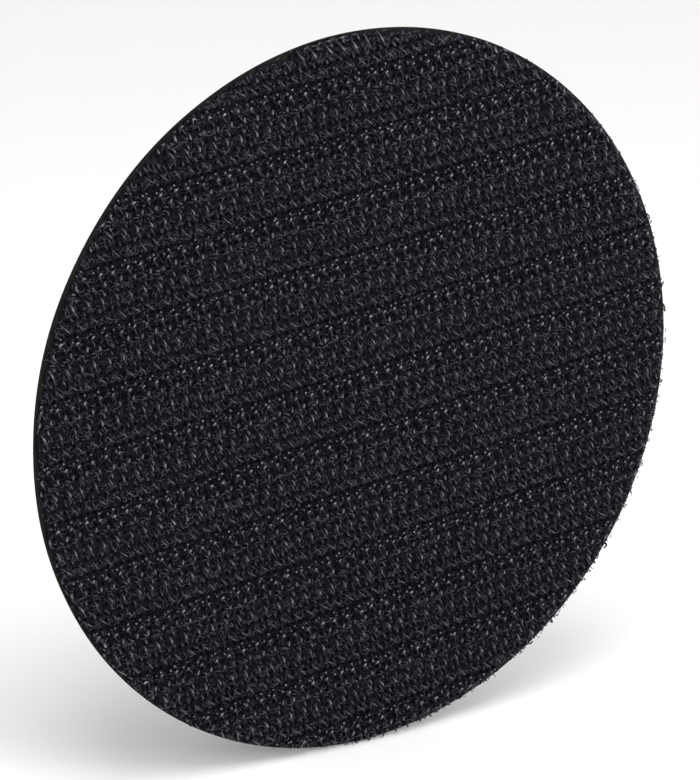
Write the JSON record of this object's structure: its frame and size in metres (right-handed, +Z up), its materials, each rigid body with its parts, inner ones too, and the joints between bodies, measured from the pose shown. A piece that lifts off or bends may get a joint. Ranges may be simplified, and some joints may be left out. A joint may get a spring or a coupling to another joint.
{
  "type": "orbital sander backing pad",
  "caption": "Round hook-faced backing pad for a random orbital sander: tapered foam on a ribbed plate with a riveted steel hub and a threaded stud.",
  "frame": {"origin": "centre of the seat, the ring face of the spacer washer that the sander's spindle bears on", "axes": "+Y runs along the stud, away from the pad; -Y points out of the hook face; +Z is up, across the disc"},
  "size_m": [0.075, 0.0282, 0.075],
  "materials": {
    "hook_nylon": "satin",
    "woven_ground": "matte",
    "bond_film": "satin",
    "pu_foam": "matte",
    "moulded_nylon": "satin",
    "zinc_steel": "satin",
    "washer_steel": "satin",
    "stud_steel": "satin",
    "rivet_steel": "satin"
  },
  "bodies": {
    "root": {"hook_pile": "hook_nylon", "hook_ground": "woven_ground", "bond_film": "bond_film", "foam_cushion": "pu_foam", "backing_plate": "moulded_nylon", "clamp_ring": "zinc_steel", "hub_flange": "zinc_steel", "spacer_washer": "washer_steel", "stud": "stud_steel", "rivet_1": "rivet_steel", "rivet_2": "rivet_steel", "rivet_3": "rivet_steel", "rivet_4": "rivet_steel", "rivet_5": "rivet_steel", "rivet_6": "rivet_steel"}
  },
  "joints": []
}
